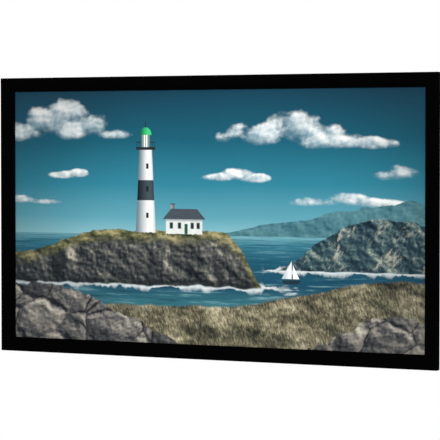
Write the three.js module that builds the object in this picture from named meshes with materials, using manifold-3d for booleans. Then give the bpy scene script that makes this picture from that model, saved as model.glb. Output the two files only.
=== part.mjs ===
// A fixed frame projector screen for a wall, in millimetres, +Z up, with the picture facing -Y.
// Four mitred aluminium rails wrapped in black velvet hold a sheet of white vinyl. The sheet is drawn
// flat by rods in its hem and by clips that hook over a rib inside the rails.
// The origin is the centre of the whole box: middle of the picture, halfway between front and wall.
import * as THREE from "three";
import { mergeVertices } from "three/addons/utils/BufferGeometryUtils.js";
import Module from "manifold-3d";

const wasm = await Module();
wasm.setup();

// Picture and frame
const pictureWidth = 2438.4;
const pictureHeight = 1371.6;
const frameWidth = 76.2;
const sheetDepth = 32;
const lipHeight = 5.7;
const clipRecess = 1.6;
const frontEdgeRadius = 2.5;
const noseRadius = 1.2;

// Fits between pieces, and how far a cutter or a joined piece runs past the face that it meets
const gap = 0.3;
const mitreGap = 0.3;
const past = 1;

// Velvet wrap
const velvetThickness = 0.9;
const velvetTuck = 7;
const velvetBackReturn = 6;

// Rail extrusion
const railWall = 2;
const nosePadWidth = 8.2;
const floorRecess = 2;
const ribOffset = 2;
const barbWidth = 2;
const barbHeight = 2.5;

// Corner key and the channel that it slides in
const keyWidth = 25.1;
const keyThickness = 4.2;
const keyLegLength = 120;
const keyCornerRadius = 6;
const channelLip = 4.8;
const channelLipThickness = 1.8;
const grubRadius = 3;
const grubProud = 1.8;
const grubSocketWidth = 3;
const grubSocketDepth = 1.4;
const grubFirst = 45;
const grubPitch = 48;

// Sheet, hem sleeves and rods
const sheetThickness = 0.5;
const rodRadius = 2.4;
const rodInset = 12.5;
const rodShortfall = 5;
const sleeveShortfall = 12;
const notchMargin = 3;
const notchBite = 0.7;

// Tension clips
const clipWidth = 24;
const clipThickness = 1.8;
const clipTab = 7.7;
const clipHookTip = 1.8;
const clipMouthAngle = 20;
const clipsAcross = 10;
const clipsUp = 6;

// Centre brace
const braceWidth = 30;
const braceWall = 1.5;
const braceCornerRadius = 1.2;
const braceSheetGap = 1.5;
const braceEndRadial = 8;
const strapWidth = 24;
const strapThickness = 2.3;
const strapInside = 60;
const strapLeg = 2.3;
const strapLegReach = 6.5;
const screwRadius = 2;
const screwHeadRadius = 3.8;
const screwHeadHeight = 1.8;
const screwRimHeight = 0.8;
const screwCrownRadius = 2.7;
const screwCrownDrop = 0.2;
const screwLength = 6;
const screwInset = 33;
const screwSlotWidth = 1;
const screwSlotDepth = 0.9;

// Wall brackets and bumpers
const bracketLength = 80;
const bracketSteel = 3;
const bracketBendRadius = 1.5;
const bracketPlate = 27.7;
const bracketLip = 7.3;
const bracketShare = 0.3;
const slotLength = 14;
const slotWidth = 6;
const slotPitch = 44;
const bumperRadius = 3.6;
const bumperMargin = 0.5;

// Worked out from the sizes above. Depth d runs back from the front face, and r runs outward from
// the picture's edge, so every section below is drawn in (r, d).
const seatDepth = sheetDepth - gap;
const bevelRun = seatDepth - lipHeight;
const ribInner = bevelRun + ribOffset;
const ribOuter = ribInner + railWall;
const barbOuter = ribOuter + barbWidth;

const sleeveInner = rodRadius + gap;
const sleeveOuter = sleeveInner + sheetThickness;
const rodR = ribInner - rodInset;
const rodD = sheetDepth + sleeveOuter;
const clipFront = rodD + sleeveInner;
const clipBack = clipFront + clipThickness;
const ribEnd = clipFront - gap;

const frameDepth = clipBack + clipRecess;
const inset = velvetThickness + gap;
const outerWallInner = frameWidth - inset - railWall;
const railBack = frameDepth - inset;
const floorBack = seatDepth - inset - floorRecess;
const velvetReturnEdge = frameWidth - velvetBackReturn;
const bumperR = velvetReturnEdge - bumperMargin - bumperRadius;
const flangeEdge = bumperR - bumperRadius - bumperMargin;

const channelFloor = inset + railWall;
const keyFront = channelFloor + gap;
const keyBack = keyFront + keyThickness;
const lipFront = keyBack + gap;
const lipBack = lipFront + channelLipThickness;
const channelOuter = outerWallInner;
const channelInner = channelOuter - keyWidth - 2 * gap;

const strapFront = rodD + rodRadius + gap;
const strapBack = strapFront + strapThickness;
const braceFront = sheetDepth + sheetThickness + braceSheetGap;
const braceBack = strapBack + gap + braceWall;
const screwZ = pictureHeight / 2 + braceEndRadial - screwInset;
const wallDepth = frameDepth + gap + bracketSteel;

const finishes = {
  velvet: { color: 0x060607, roughness: 1, metalness: 0 },
  aluminium: { color: 0xb9bcc0, roughness: 0.42, metalness: 1 },
  vinyl: { color: 0xf0f0ee, roughness: 0.9, metalness: 0 },
  zincSteel: { color: 0xa9abaf, roughness: 0.35, metalness: 1 },
  fibreglass: { color: 0xe2ddc8, roughness: 0.5, metalness: 0 },
  nylon: { color: 0xd6d6d2, roughness: 0.5, metalness: 0 },
  rubber: { color: 0x1a1a1b, roughness: 0.9, metalness: 0 },
};
const materials = Object.fromEntries(
  Object.entries(finishes).map(([name, look]) => [name, new THREE.MeshStandardMaterial(look)]),
);

function named(name, geometry, material) {
  const mesh = new THREE.Mesh(geometry, materials[material]);
  mesh.name = name;
  return mesh;
}

// A shape through points [r, d] or [r, d, radius], with each corner that has a radius as a true arc.
function outline(points) {
  const shape = new THREE.Shape();
  points.forEach(([x, y, radius = 0], i) => {
    if (!radius) {
      if (i) shape.lineTo(x, y);
      else shape.moveTo(x, y);
      return;
    }
    const corner = new THREE.Vector2(x, y);
    const before = new THREE.Vector2(...points.at(i - 1)).sub(corner).normalize();
    const after = new THREE.Vector2(...points[(i + 1) % points.length]).sub(corner).normalize();
    const half = Math.acos(before.dot(after)) / 2;
    const toCentre = before.clone().add(after).normalize().multiplyScalar(radius / Math.sin(half));
    const centre = corner.clone().add(toCentre);
    const from = corner.clone().addScaledVector(before, radius / Math.tan(half)).sub(centre);
    const to = corner.clone().addScaledVector(after, radius / Math.tan(half)).sub(centre);
    const clockwise = from.cross(to) < 0;
    if (i) shape.lineTo(centre.x + from.x, centre.y + from.y);
    else shape.moveTo(centre.x + from.x, centre.y + from.y);
    shape.absarc(centre.x, centre.y, radius, from.angle(), to.angle(), clockwise);
  });
  return shape;
}

// A section in (r, d) drawn out along the rail, centred on it.
function alongRail(shape, length, curveSegments = 4) {
  const geometry = new THREE.ExtrudeGeometry(shape, { depth: length, bevelEnabled: false, curveSegments });
  return geometry.translate(0, 0, -length / 2).rotateY(-Math.PI / 2);
}

// The same, with both ends mitred: the further out a point lies, the longer the bar is there.
function mitredBar(shape, length) {
  const setback = (mitreGap / 2) * Math.SQRT2;
  const geometry = new THREE.ExtrudeGeometry(shape, { depth: 2, bevelEnabled: false, curveSegments: 3 });
  geometry.translate(0, 0, -1);
  const position = geometry.getAttribute("position");
  for (let i = 0; i < position.count; i++) {
    position.setZ(i, position.getZ(i) * (length / 2 + position.getX(i) - setback));
  }
  return geometry.rotateY(-Math.PI / 2);
}

// Solids for cutting and joining
function solid(geometry) {
  const bare = geometry.clone();
  bare.deleteAttribute("normal");
  bare.deleteAttribute("uv");
  const merged = mergeVertices(bare, 1e-4);
  return new wasm.Manifold(
    new wasm.Mesh({
      numProp: 3,
      vertProperties: merged.getAttribute("position").array,
      triVerts: new Uint32Array(merged.index.array),
    }),
  );
}

function geometryOf(manifold) {
  const mesh = manifold.getMesh();
  const geometry = new THREE.BufferGeometry();
  geometry.setAttribute("position", new THREE.BufferAttribute(mesh.vertProperties, 3));
  geometry.setIndex(new THREE.BufferAttribute(mesh.triVerts, 1));
  const flat = geometry.toNonIndexed();
  flat.computeVertexNormals();
  return flat;
}

// A box between two corners [x, y, z].
function block(low, high) {
  const [w, d, h] = high.map((v, i) => v - low[i]);
  return new THREE.BoxGeometry(w, d, h).translate(low[0] + w / 2, low[1] + d / 2, low[2] + h / 2);
}

// A round bar along the depth, from front to back.
function pin(radius, front, back, x, z, segments = 20) {
  const bar = new THREE.CylinderGeometry(radius, radius, back - front, segments);
  return bar.translate(x, (front + back) / 2, z);
}

// The frame's outer skin, taken in by some distance: nose, lip, bevel, front face and outer side.
function skin(distance) {
  const bevelShift = bevelRun + distance * (Math.SQRT2 - 1);
  const noseTurn = Math.max(noseRadius - distance, 0);
  const frontTurn = Math.max(frontEdgeRadius - distance, 0);
  return [
    [distance, seatDepth - distance, noseTurn],
    [distance, bevelShift],
    [bevelShift, distance],
    [frameWidth - distance, distance, frontTurn],
    [frameWidth - distance, frameDepth - distance, noseTurn],
  ];
}

// Velvet wrap: a thin skin from under the nose, over the front, to the back of the outer side.
function velvetSection() {
  return outline([
    [velvetTuck, seatDepth],
    ...skin(0),
    [velvetReturnEdge, frameDepth],
    [velvetReturnEdge, frameDepth - velvetThickness],
    ...skin(velvetThickness).reverse(),
    [velvetTuck, seatDepth - velvetThickness],
  ]);
}

// Rail extrusion: a closed chamber under the bevel, a barbed rib for the clips, a channel for the
// corner keys, and a flange at the back that hangs on the wall brackets.
function railSection() {
  const shape = outline([
    [nosePadWidth, seatDepth - inset],
    ...skin(inset),
    [flangeEdge, railBack],
    [flangeEdge, railBack - railWall],
    [outerWallInner, railBack - railWall],
    [channelOuter, lipBack],
    [channelOuter - channelLip, lipBack],
    [channelOuter - channelLip, lipFront],
    [channelOuter, lipFront],
    [channelOuter, channelFloor],
    [channelInner, channelFloor],
    [channelInner, lipFront],
    [channelInner + channelLip, lipFront],
    [channelInner + channelLip, lipBack],
    [channelInner - railWall, lipBack],
    [channelInner - railWall, channelFloor],
    [ribOuter, channelFloor],
    [ribOuter, ribEnd - barbHeight],
    [barbOuter, ribEnd - barbHeight],
    [barbOuter, ribEnd],
    [ribInner, ribEnd],
    [ribInner, floorBack],
    [nosePadWidth, floorBack],
  ]);
  const chamberFloor = floorBack - railWall;
  const bevelLine = bevelRun + (inset + railWall) * Math.SQRT2;
  shape.holes.push(
    outline([
      [bevelLine - chamberFloor, chamberFloor],
      [ribInner, chamberFloor],
      [ribInner, channelFloor],
      [bevelLine - channelFloor, channelFloor],
    ]),
  );
  return shape;
}

// Tension clip: a hook round the rod, a strip across the back of the rib, a hook over its barb,
// and a tab for the finger that pulls it on.
function clipSection() {
  const shape = new THREE.Shape();
  const mouth = ((270 + clipMouthAngle) * Math.PI) / 180;
  const back = Math.PI / 2;
  const hookInner = barbOuter + gap;
  const tipFront = ribEnd - barbHeight - gap - clipHookTip;
  shape.absarc(rodR, rodD, sleeveInner + clipThickness, mouth, back, true);
  shape.lineTo(hookInner + clipThickness + clipTab, clipBack);
  shape.lineTo(hookInner + clipThickness + clipTab, clipFront);
  shape.lineTo(hookInner + clipThickness, clipFront);
  shape.lineTo(hookInner + clipThickness, tipFront);
  shape.lineTo(ribOuter + gap, tipFront);
  shape.lineTo(ribOuter + gap, tipFront + clipHookTip);
  shape.lineTo(hookInner, tipFront + clipHookTip);
  shape.lineTo(hookInner, clipFront);
  shape.absarc(rodR, rodD, sleeveInner, back, mouth, false);
  return shape;
}

// Places of the clips along a rail, evenly spread with half a pitch at each end.
function clipPlaces(count, length) {
  const pitch = length / count;
  return Array.from({ length: count }, (_, i) => (i + 0.5) * pitch - length / 2);
}

// One side of the frame, drawn as the top one: rail, velvet, hem rod and clips.
function side(name, length, clipCount) {
  const group = new THREE.Group();
  group.add(named(`rail_${name}`, mitredBar(railSection(), length), "aluminium"));
  group.add(named(`velvet_${name}`, mitredBar(velvetSection(), length), "velvet"));

  const rod = new THREE.CylinderGeometry(rodRadius, rodRadius, length - 2 * rodShortfall, 12);
  rod.rotateZ(Math.PI / 2).translate(0, rodD, rodR);
  group.add(named(`hem_rod_${name}`, rod, "fibreglass"));

  clipPlaces(clipCount, length).forEach((x, i) => {
    const clip = named(`tension_clip_${name}_${i + 1}`, alongRail(clipSection(), clipWidth), "nylon");
    clip.position.x = x;
    group.add(clip);
  });
  return group;
}

// Turns a side about the picture's middle: 0 is the top, and each quarter turn goes clockwise as
// seen from the back.
const sides = [
  { name: "top", length: pictureWidth, edge: pictureHeight / 2, turn: 0, clips: clipsAcross },
  { name: "right", length: pictureHeight, edge: pictureWidth / 2, turn: Math.PI / 2, clips: clipsUp },
  { name: "bottom", length: pictureWidth, edge: pictureHeight / 2, turn: Math.PI, clips: clipsAcross },
  { name: "left", length: pictureHeight, edge: pictureWidth / 2, turn: -Math.PI / 2, clips: clipsUp },
];

// The sheet: a flat panel with its corners cut off, a sleeve along each edge for the rod, and a
// notch in the hem wherever a clip or the brace takes hold of the rod.
function sheetGeometry() {
  const halfWidth = pictureWidth / 2;
  const halfHeight = pictureHeight / 2;
  const corners = [];
  for (const [sx, sz] of [[1, 1], [-1, 1], [-1, -1], [1, -1]]) {
    const onSide = [sx * (halfWidth + rodR), sz * (halfHeight - sleeveShortfall)];
    const onTop = [sx * (halfWidth - sleeveShortfall), sz * (halfHeight + rodR)];
    corners.push(...(sx * sz > 0 ? [onSide, onTop] : [onTop, onSide]));
  }
  const panel = new THREE.ExtrudeGeometry(outline(corners), { depth: sheetThickness, bevelEnabled: false });
  panel.rotateX(Math.PI / 2).translate(0, sheetDepth + sheetThickness, 0);
  let sheet = solid(panel);

  const ring = new THREE.Shape().absarc(rodR, rodD, sleeveOuter, 0, 2 * Math.PI, false);
  ring.holes.push(new THREE.Path().absarc(rodR, rodD, sleeveInner, 0, 2 * Math.PI, true));
  const notchLow = rodR - sleeveInner - clipThickness - notchBite;
  for (const { length, edge, turn, clips } of sides) {
    const place = (geometry) => solid(geometry.translate(0, 0, edge).rotateY(turn));
    sheet = sheet.add(place(alongRail(ring, length - 2 * sleeveShortfall, 6)));
    const notches = clipPlaces(clips, length).map((x) => [x, clipWidth]);
    if (length === pictureWidth) notches.push([0, strapWidth]);
    for (const [x, width] of notches) {
      const half = width / 2 + notchMargin;
      const low = [x - half, sheetDepth - past, notchLow];
      const high = [x + half, rodD + sleeveOuter + past, rodR + sleeveOuter + past];
      sheet = sheet.subtract(place(block(low, high)));
    }
  }
  return geometryOf(sheet);
}

// Corner key: a steel angle plate with four grub screws, two in each leg, that lock it in the channel.
function cornerKey() {
  const near = channelInner + gap;
  const far = near + keyWidth;
  const tail = far - keyLegLength;
  const plate = new THREE.ExtrudeGeometry(
    outline([
      [far, far, keyCornerRadius],
      [tail, far],
      [tail, near],
      [near, near],
      [near, tail],
      [far, tail],
    ]),
    { depth: keyThickness, bevelEnabled: false, curveSegments: 5 },
  );
  plate.rotateX(Math.PI / 2).translate(0, keyBack, 0);
  let key = solid(plate);
  const middle = (near + far) / 2;
  for (const along of [far - grubFirst, far - grubFirst - grubPitch]) {
    for (const [x, z] of [[along, middle], [middle, along]]) {
      const grubBack = keyBack + grubProud;
      const socketRadius = grubSocketWidth / Math.sqrt(3);
      key = key.add(solid(pin(grubRadius, keyBack - past, grubBack, x, z, 12)));
      key = key.subtract(solid(pin(socketRadius, grubBack - grubSocketDepth, grubBack + past, x, z, 6)));
    }
  }
  return geometryOf(key);
}

// Centre brace: a flat tube behind the sheet that keeps the long rails from bowing inward.
function braceTube() {
  const half = braceWidth / 2;
  const length = pictureHeight + 2 * braceEndRadial;
  const section = outline([
    [-half, braceFront, braceCornerRadius],
    [half, braceFront, braceCornerRadius],
    [half, braceBack, braceCornerRadius],
    [-half, braceBack, braceCornerRadius],
  ]);
  const tube = new THREE.ExtrudeGeometry(section, { depth: length, bevelEnabled: false, curveSegments: 3 });
  const hollow = block(
    [-half + braceWall, braceFront + braceWall, -length],
    [half - braceWall, braceBack - braceWall, length],
  );
  let brace = solid(tube.translate(0, 0, -length / 2)).subtract(solid(hollow));
  for (const z of [screwZ, -screwZ]) {
    brace = brace.subtract(solid(pin(screwRadius + gap, braceBack - 2 * braceWall, braceBack + past, 0, z)));
  }
  return geometryOf(brace);
}

// The strap in each end of the brace passes behind the hem rod and sits astride the rail's rib.
function braceStrap() {
  const inner = ribInner - gap - strapLeg;
  const outer = barbOuter + gap;
  const legFront = strapFront - strapLegReach;
  const section = outline([
    [braceEndRadial - strapInside, strapBack],
    [braceEndRadial - strapInside, strapFront],
    [inner, strapFront],
    [inner, legFront],
    [inner + strapLeg, legFront],
    [inner + strapLeg, strapFront],
    [outer, strapFront],
    [outer, legFront],
    [outer + strapLeg, legFront],
    [outer + strapLeg, strapBack],
  ]);
  const hole = pin(screwRadius + gap, strapFront - past, strapBack + past, 0, braceEndRadial - screwInset);
  return geometryOf(solid(alongRail(section, strapWidth)).subtract(solid(hole)));
}

// Pan head screw through the tube's back wall into the strap, slotted for a screwdriver.
function braceScrew() {
  const headFront = braceBack + gap;
  const headBack = headFront + screwHeadHeight;
  const profile = [
    [0, headFront - screwLength],
    [screwRadius, headFront - screwLength],
    [screwRadius, headFront],
    [screwHeadRadius, headFront],
    [screwHeadRadius, headFront + screwRimHeight],
    [screwCrownRadius, headBack - screwCrownDrop],
    [0, headBack],
  ].map(([radius, y]) => new THREE.Vector2(radius, y));
  const body = solid(new THREE.LatheGeometry(profile, 16));
  const slot = block(
    [-screwHeadRadius, headBack - screwSlotDepth, -screwSlotWidth / 2],
    [screwHeadRadius, headBack + past, screwSlotWidth / 2],
  );
  return geometryOf(body.subtract(solid(slot)));
}

// Wall bracket: a bent steel plate with two slots, and a lip that the top rail's flange drops over.
function wallBracket() {
  const shelf = flangeEdge - gap;
  const lipBackFace = railBack - railWall - gap;
  const section = outline([
    [shelf - bracketPlate, wallDepth],
    [shelf, wallDepth],
    [shelf, lipBackFace],
    [shelf + bracketLip, lipBackFace],
    [shelf + bracketLip, lipBackFace - bracketSteel],
    [shelf - bracketSteel, lipBackFace - bracketSteel, bracketBendRadius],
    [shelf - bracketSteel, wallDepth - bracketSteel],
    [shelf - bracketPlate, wallDepth - bracketSteel],
  ]);
  let bracket = solid(alongRail(section, bracketLength));
  const slotR = shelf - bracketSteel - (bracketPlate - bracketSteel) / 2;
  const run = (slotLength - slotWidth) / 2;
  for (const x of [-slotPitch / 2, slotPitch / 2]) {
    const slot = new THREE.Shape()
      .absarc(x + run, slotR, slotWidth / 2, -Math.PI / 2, Math.PI / 2, false)
      .absarc(x - run, slotR, slotWidth / 2, Math.PI / 2, (3 * Math.PI) / 2, false);
    const depth = bracketSteel + 2 * past;
    const cutter = new THREE.ExtrudeGeometry(slot, { depth, bevelEnabled: false, curveSegments: 6 });
    cutter.rotateX(Math.PI / 2).translate(0, wallDepth + past, 0);
    bracket = bracket.subtract(solid(cutter));
  }
  return geometryOf(bracket);
}

// Assembly
const screen = new THREE.Group();
screen.position.y = -wallDepth / 2;

for (const { name, length, edge, turn, clips } of sides) {
  const group = side(name, length, clips);
  group.children.forEach((piece) => (piece.position.z += edge));
  group.rotation.y = turn;
  screen.add(group);
}

screen.add(named("projection_sheet", sheetGeometry(), "vinyl"));

const keyCorners = [
  { name: "top_right", turn: 0, x: pictureWidth / 2, z: pictureHeight / 2 },
  { name: "bottom_right", turn: Math.PI / 2, x: pictureWidth / 2, z: -pictureHeight / 2 },
  { name: "bottom_left", turn: Math.PI, x: -pictureWidth / 2, z: -pictureHeight / 2 },
  { name: "top_left", turn: -Math.PI / 2, x: -pictureWidth / 2, z: pictureHeight / 2 },
];
for (const { name, turn, x, z } of keyCorners) {
  const key = named(`corner_key_${name}`, cornerKey(), "zincSteel");
  key.rotation.y = turn;
  key.position.set(x, 0, z);
  screen.add(key);
}

screen.add(named("centre_brace", braceTube(), "aluminium"));
for (const [name, turn] of [["top", 0], ["bottom", Math.PI]]) {
  const end = new THREE.Group();
  const strap = named(`brace_strap_${name}`, braceStrap(), "zincSteel");
  const screw = named(`brace_screw_${name}`, braceScrew(), "zincSteel");
  strap.position.z = pictureHeight / 2;
  screw.position.z = screwZ;
  end.add(strap, screw);
  end.rotation.y = turn;
  screen.add(end);
}

for (const [name, sign] of [["left", -1], ["right", 1]]) {
  const x = sign * bracketShare * pictureWidth;
  const bracket = named(`wall_bracket_${name}`, wallBracket(), "zincSteel");
  bracket.position.set(x, 0, pictureHeight / 2);
  const plug = pin(bumperRadius, railBack + gap, wallDepth, x, -pictureHeight / 2 - bumperR);
  const bumper = named(`wall_bumper_${name}`, plug, "rubber");
  screen.add(bracket, bumper);
}

export default screen;
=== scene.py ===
"""A fixed frame projector screen: black velvet rails round a matt white sheet that shows a made-up
coast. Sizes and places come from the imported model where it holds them. They are in metres, with X to
the right along the picture, Y back towards the wall and Z up."""
import math

import bmesh
import bpy
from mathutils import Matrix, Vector


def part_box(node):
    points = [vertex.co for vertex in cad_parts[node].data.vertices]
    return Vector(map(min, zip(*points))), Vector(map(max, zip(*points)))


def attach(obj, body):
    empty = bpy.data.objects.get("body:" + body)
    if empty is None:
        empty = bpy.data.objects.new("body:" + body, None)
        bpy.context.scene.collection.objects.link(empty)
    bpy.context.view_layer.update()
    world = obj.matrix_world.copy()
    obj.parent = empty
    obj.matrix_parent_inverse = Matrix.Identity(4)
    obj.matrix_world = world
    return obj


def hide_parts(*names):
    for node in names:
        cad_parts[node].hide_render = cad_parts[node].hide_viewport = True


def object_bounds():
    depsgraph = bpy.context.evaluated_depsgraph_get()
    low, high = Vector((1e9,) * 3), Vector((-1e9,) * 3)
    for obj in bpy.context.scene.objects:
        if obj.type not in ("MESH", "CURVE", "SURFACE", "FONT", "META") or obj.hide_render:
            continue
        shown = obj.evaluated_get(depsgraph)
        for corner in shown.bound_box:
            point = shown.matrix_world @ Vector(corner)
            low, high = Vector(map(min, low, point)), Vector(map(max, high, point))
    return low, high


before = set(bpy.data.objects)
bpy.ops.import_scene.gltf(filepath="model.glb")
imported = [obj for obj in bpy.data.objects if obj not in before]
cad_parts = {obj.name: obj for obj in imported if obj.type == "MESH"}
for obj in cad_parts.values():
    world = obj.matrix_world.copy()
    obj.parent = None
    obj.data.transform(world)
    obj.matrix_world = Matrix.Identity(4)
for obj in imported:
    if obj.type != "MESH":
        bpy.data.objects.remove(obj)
cad_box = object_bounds()

# The picture's edges and the faces in depth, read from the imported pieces
HALF_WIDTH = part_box("velvet_right")[0].x
HALF_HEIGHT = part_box("velvet_top")[0].z
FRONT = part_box("velvet_top")[0].y
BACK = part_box("velvet_top")[1].y
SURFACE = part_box("projection_sheet")[0].y
FRAME_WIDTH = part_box("velvet_top")[1].z - HALF_HEIGHT

# Each side of the frame and the way out of the picture there, in X and Z. Along a side, places run
# clockwise as seen from the front, and r runs outward from the picture's edge.
OUTWARD = {"top": (0, 1), "right": (1, 0), "bottom": (0, -1), "left": (-1, 0)}


def half_length(side):
    """Half the picture's length along one side."""
    return HALF_WIDTH if OUTWARD[side][1] else HALF_HEIGHT


def picture_edge(side):
    """How far the picture's edge on one side lies from its middle."""
    return HALF_HEIGHT if OUTWARD[side][1] else HALF_WIDTH


def on_side(side, along, r):
    """X and Z of a point on one side of the frame."""
    out_x, out_z = OUTWARD[side]
    out = r + picture_edge(side)
    return out_x * out + out_z * along, out_z * out - out_x * along


def span_along(side, node):
    """Where a CAD node starts and ends along its side, from its box."""
    out_x, out_z = OUTWARD[side]
    return sorted(out_z * corner.x - out_x * corner.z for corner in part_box(node))


def outer_r(side, node):
    """How far outward a CAD node on one side reaches."""
    out_x, out_z = OUTWARD[side]
    return max(out_x * corner.x + out_z * corner.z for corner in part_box(node)) - picture_edge(side)


class Value:
    """A number or colour in a node tree. Maths on it adds nodes."""

    def __init__(self, shader, socket):
        self.shader, self.socket = shader, socket

    def __add__(self, other):
        return self.shader.math("ADD", self, other)

    def __sub__(self, other):
        return self.shader.math("SUBTRACT", self, other)

    def __rsub__(self, other):
        return self.shader.math("SUBTRACT", other, self)

    def __mul__(self, other):
        return self.shader.math("MULTIPLY", self, other)

    def __truediv__(self, other):
        return self.shader.math("DIVIDE", self, other)

    def __abs__(self):
        return self.shader.math("ABSOLUTE", self)

    __radd__, __rmul__ = __add__, __mul__


def linear(*colour):
    """A colour written as 0 to 255 screen values, as the light that a shader works in."""
    low = [c / 255 for c in colour]
    return tuple(c / 12.92 if c < 0.04045 else ((c + 0.055) / 1.055) ** 2.4 for c in low) + (1,)


class Shader:
    """One material with a Principled surface, and short ways to add nodes to it."""

    def __init__(self, name):
        self.material = bpy.data.materials.new(name)
        self.material.use_nodes = True
        self.nodes, self.links = self.material.node_tree.nodes, self.material.node_tree.links
        self.surface = self.nodes["Principled BSDF"]
        coords = self.nodes.new("ShaderNodeTexCoord")
        split = self.nodes.new("ShaderNodeSeparateXYZ")
        self.links.new(coords.outputs["Object"], split.inputs[0])
        self.here = Value(self, coords.outputs["Object"])
        self.x, self.y, self.z = (Value(self, s) for s in split.outputs)

    def feed(self, socket, value):
        if isinstance(value, Value):
            self.links.new(value.socket, socket)
        else:
            socket.default_value = value

    def node(self, kind, inputs=(), output=0, **settings):
        made = self.nodes.new("ShaderNode" + kind)
        for key, value in settings.items():
            setattr(made, key, value)
        for key, value in dict(inputs).items():
            self.feed(made.inputs[key], value)
        return Value(self, made.outputs[output])

    def math(self, operation, *values):
        return self.node("Math", enumerate(values), operation=operation)

    def low(self, *values):
        return self.math("MINIMUM", *values)

    def high(self, *values):
        return self.math("MAXIMUM", *values)

    def step(self, start, end, value):
        """0 up to start, 1 from end on, and smooth between. With start above end it falls."""
        ends = {"Value": value, "From Min": start, "From Max": end}
        return self.node("MapRange", ends, interpolation_type="SMOOTHSTEP")

    def point(self, x, y, z):
        return self.node("CombineXYZ", enumerate((x, y, z)))

    def spot(self, seed, across=1.0, up=1.0, tilt=0.0, shift=0.0):
        """A place on the picture for a texture, in heights of the picture: moved by shift to the upper
        right, turned by tilt in degrees, then pressed together across and up. A Mapping node straight
        from the object's coordinates keeps the many textures within the room that a renderer has for
        one shader."""
        height = 2 * HALF_HEIGHT
        corner = (-HALF_WIDTH - shift * height, SURFACE + seed * height, -HALF_HEIGHT - shift * height)
        inputs = {"Vector": self.here, "Location": corner,
                  "Rotation": (math.radians(90), math.radians(-tilt), 0),
                  "Scale": (height / across, height / up, height)}
        return self.node("Mapping", inputs, vector_type="TEXTURE")

    def noise(self, scale, detail=4.0, rough=0.5, place=None):
        """Noise all over the object, or at a place worked out from its coordinates."""
        inputs = {"Vector": place or self.here, "Scale": scale, "Detail": detail, "Roughness": rough}
        return self.node("TexNoise", inputs)

    def grain(self, scale, seed, detail=4.0, rough=0.5, kind="FBM", **place):
        """Noise on the picture. The settings of its place are those of spot."""
        inputs = {"Vector": self.spot(seed, **place), "Scale": scale, "Detail": detail, "Roughness": rough}
        return self.node("TexNoise", inputs, noise_type=kind)

    def wave(self, x, scale, seed, detail=4.0, rough=0.5):
        """Noise along one line, for outlines."""
        inputs = {"W": x + seed, "Scale": scale, "Detail": detail, "Roughness": rough}
        return self.node("TexNoise", inputs, noise_dimensions="1D")

    def cells(self, place, scale, feature="SMOOTH_F1", output=0):
        """Distance in a cell pattern, or with output 1 a colour for each cell."""
        return self.node("TexVoronoi", {"Vector": place, "Scale": scale}, output, feature=feature)

    def mix(self, a, b, amount):
        return self.node("Mix", {0: amount, 6: a, 7: b}, output=2, data_type="RGBA")

    def ramp(self, value, stops):
        """Colours at places from 0 to 1."""
        made = self.nodes.new("ShaderNodeValToRGB")
        self.feed(made.inputs[0], value)
        while len(made.color_ramp.elements) < len(stops):
            made.color_ramp.elements.new(0.5)
        for element, (place, colour) in zip(made.color_ramp.elements, stops):
            element.position, element.color = place, linear(*colour)
        return Value(self, made.outputs[0])

    def band(self, value, start, end, soft=0.0015):
        """1 between two places and 0 past them, with soft edges."""
        return self.step(start - soft, start + soft, value) * self.step(end + soft, end - soft, value)

    def box(self, x, y, left, right, bottom, top, soft=0.0015):
        """1 inside a box of the picture and 0 outside it."""
        return self.band(x, left, right, soft) * self.band(y, bottom, top, soft)

    def slope(self, height, reach):
        """How far a height falls towards the light, at the upper right. It is a function of a shift."""
        return height(0.0) - height(reach)

    def set(self, **inputs):
        for key, value in inputs.items():
            self.feed(self.surface.inputs[key.replace("_", " ")], value)
        return self

    def bump(self, height, distance, strength=1.0):
        inputs = {"Height": height, "Distance": distance, "Strength": strength}
        self.links.new(self.node("Bump", inputs).socket, self.surface.inputs["Normal"])
        return self


# The picture. Its lengths and places are in heights of the picture, from its lower left corner.
# Clouds are heaps of lumps: centre, half width and half height of each.
CLOUDS = (
    (0.02, 0.830, 0.16, 0.060), (0.16, 0.865, 0.15, 0.090), (0.31, 0.840, 0.17, 0.070),
    (0.24, 0.905, 0.11, 0.075), (0.45, 0.822, 0.10, 0.032),
    (1.10, 0.805, 0.16, 0.060), (1.24, 0.830, 0.14, 0.090), (1.38, 0.800, 0.16, 0.062),
    (1.54, 0.785, 0.12, 0.034),
    (1.62, 0.660, 0.10, 0.030), (1.69, 0.672, 0.08, 0.040),
    (0.92, 0.655, 0.07, 0.024), (1.00, 0.665, 0.07, 0.034), (1.09, 0.650, 0.08, 0.022),
    (0.22, 0.660, 0.07, 0.020), (0.29, 0.667, 0.05, 0.024),
    (0.04, 0.560, 0.10, 0.026), (0.14, 0.552, 0.08, 0.018),
    (1.34, 0.560, 0.12, 0.026), (1.46, 0.572, 0.10, 0.034), (1.60, 0.560, 0.13, 0.026),
)
HORIZON = 0.43
RIDGED = "RIDGED_MULTIFRACTAL"


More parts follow.
